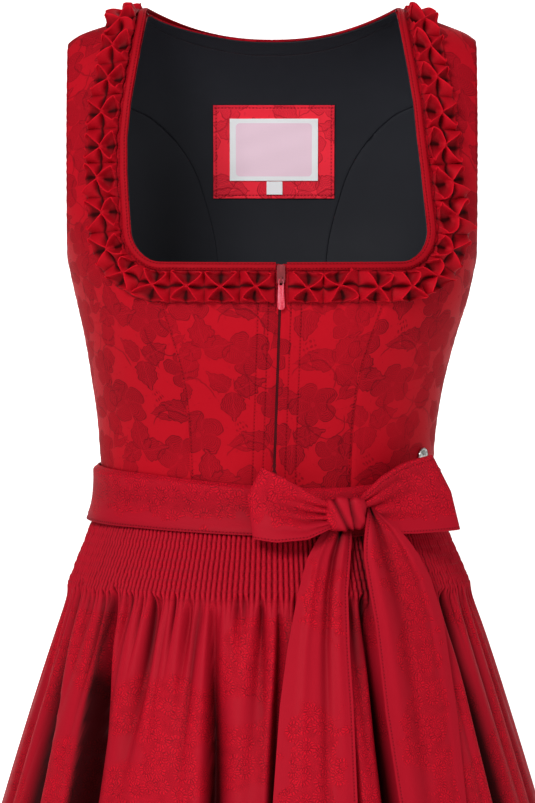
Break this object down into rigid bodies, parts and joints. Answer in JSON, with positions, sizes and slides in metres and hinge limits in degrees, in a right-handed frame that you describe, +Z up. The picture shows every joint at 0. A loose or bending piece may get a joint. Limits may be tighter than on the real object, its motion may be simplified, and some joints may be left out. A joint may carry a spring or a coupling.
{
  "type": "dirndl",
  "caption": "Sleeveless dirndl: square-necked bodice with a pleated rosette trim and front zip, gathered midi skirt, smocked apron tied with a bow at one side.",
  "frame": {"origin": "midway between the two shoulder straps, at the height of the shoulder ridge", "axes": "+Z up along the body, -Y towards the front of the garment, +X towards the right of someone who faces its front"},
  "size_m": [0.5938, 0.5307, 1.0165],
  "materials": {
    "bodice_satin": "red jacquard satin with a tone-on-tone leaf and flower pattern",
    "lining_satin": "near-black lining satin",
    "trim_satin": "red satin, pinched into box pleats, and the same satin as a binding",
    "zip_tape": "dark red woven tape with fine red teeth",
    "skirt_cloth": "red satin of the bodice's weave",
    "apron_cloth": "deep red jacquard with small flower clusters in a brighter red",
    "label_cloth": "white woven satin label",
    "silver": "silver-coloured metal",
    "pull_lacquer": "glossy pink-red lacquer on metal"
  },
  "bodies": {
    "garment": {"bodice_centre_front_left": "bodice_satin", "bodice_centre_front_right": "bodice_satin", "bodice_side_front_left": "bodice_satin", "bodice_side_front_right": "bodice_satin", "bodice_side_back_left": "bodice_satin", "bodice_side_back_right": "bodice_satin", "bodice_centre_back": "bodice_satin", "neck_patch": "bodice_satin", "lining_centre_front_left": "lining_satin", "lining_centre_front_right": "lining_satin", "lining_side_front_left": "lining_satin", "lining_side_front_right": "lining_satin", "lining_side_back_left": "lining_satin", "lining_side_back_right": "lining_satin", "lining_centre_back": "lining_satin", "neck_binding_left": "trim_satin", "neck_binding_right": "trim_satin", "neck_binding_back_left": "trim_satin", "neck_binding_back_right": "trim_satin", "rosette_trim_left": "trim_satin", "rosette_trim_right": "trim_satin", "zip_tape_left": "zip_tape", "zip_tape_right": "zip_tape", "skirt_front": "skirt_cloth", "skirt_back": "skirt_cloth", "apron": "apron_cloth", "sash_front": "apron_cloth", "sash_back": "apron_cloth", "bow_knot": "apron_cloth", "bow_loop_left": "apron_cloth", "bow_loop_right": "apron_cloth", "bow_tail_left": "apron_cloth", "bow_tail_right": "apron_cloth", "neck_label": "label_cloth", "size_tab": "label_cloth", "zip_slider": "silver", "zip_bridge": "silver", "side_button": "silver"},
    "zip_pull": {"zip_pull": "pull_lacquer"}
  },
  "joints": [
    {"name": "zip_pull_swing", "type": "hinge", "parent": "garment", "child": "zip_pull", "pos_m": [0.00642, -0.11309, -0.1959], "axis": [-1, 0, 0], "range_deg": [0, 150]}
  ]
}
